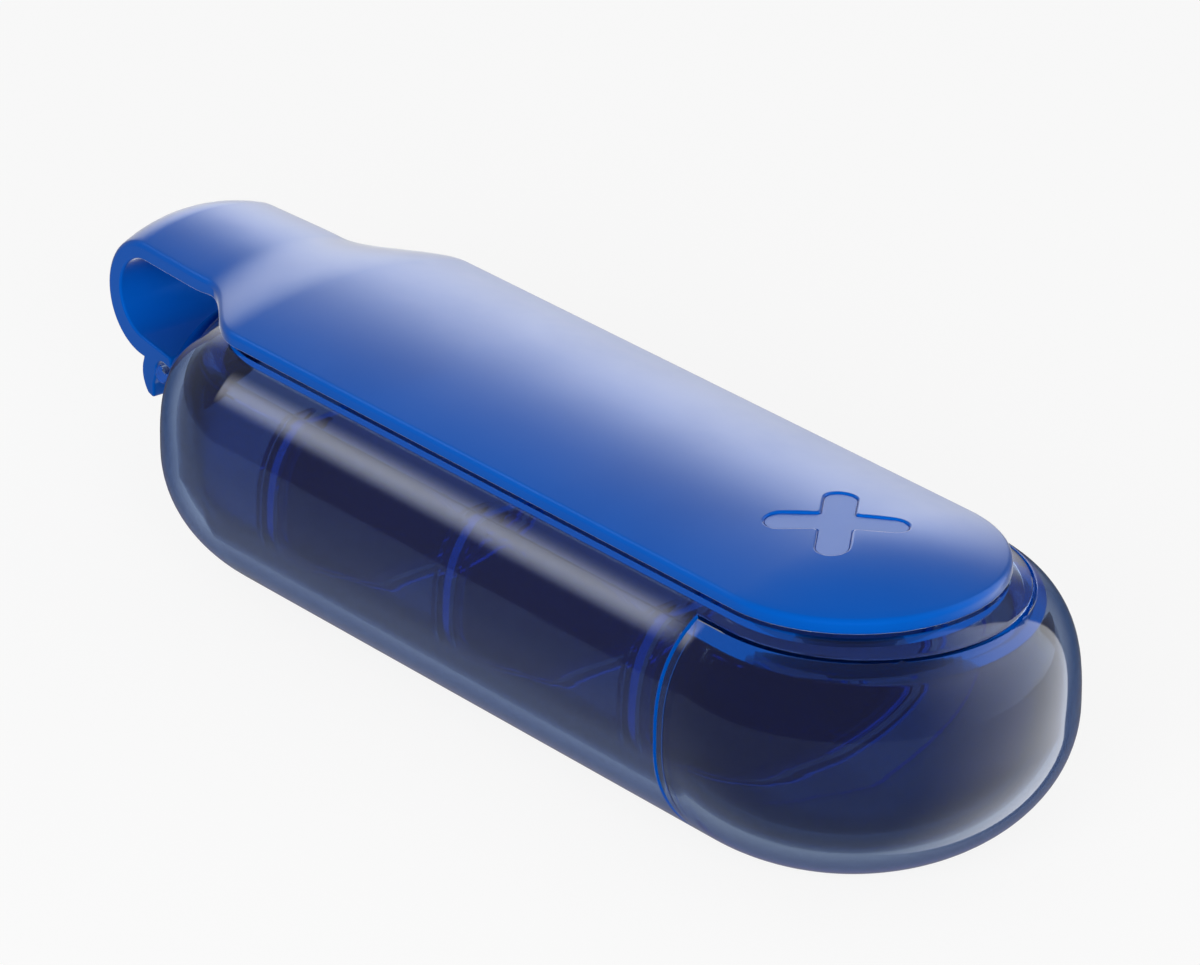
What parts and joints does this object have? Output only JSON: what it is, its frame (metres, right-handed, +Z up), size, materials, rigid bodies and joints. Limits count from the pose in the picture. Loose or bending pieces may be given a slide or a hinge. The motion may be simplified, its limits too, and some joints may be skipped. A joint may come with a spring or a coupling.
{
  "type": "pill organizer",
  "caption": "Clear round-sided case with a pull-out tray of compartments, closed by a soft strap cover that ends in a clip-on carry loop.",
  "frame": {"origin": "middle of the flat underside that the case rests on, below the middle of the case", "axes": "+X along the case towards the drawer front, +Z up through the cover, the carry loop is at -X"},
  "size_m": [0.1229, 0.0406, 0.03],
  "materials": {
    "clear_case": "polished, see-through smoky blue",
    "clear_tray": "polished, see-through blue",
    "soft_cover": "satin silicone"
  },
  "bodies": {
    "case": {"outer_shell": "clear_case", "hitch_rail": "clear_case", "neck_pad": "soft_cover"},
    "tray": {"inner_tray": "clear_tray", "tray_front": "clear_case", "divider_1": "clear_tray", "divider_2": "clear_tray", "divider_3": "clear_tray"},
    "lid": {"lid_cover": "soft_cover"},
    "loop": {"carry_loop": "soft_cover"}
  },
  "joints": [
    {"name": "tray_slide", "type": "slide", "parent": "case", "child": "tray", "axis": [1, 0, 0], "range_m": [0, 0.075]},
    {"name": "lid_hinge", "type": "hinge", "parent": "case", "child": "lid", "pos_m": [-0.045, 0, 0.02961], "axis": [0, -1, 0], "range_deg": [0, 100]},
    {"name": "loop_hinge", "type": "hinge", "parent": "case", "child": "loop", "pos_m": [-0.0515, 0, 0.02935], "axis": [0, 1, 0], "range_deg": [0, 40]}
  ]
}
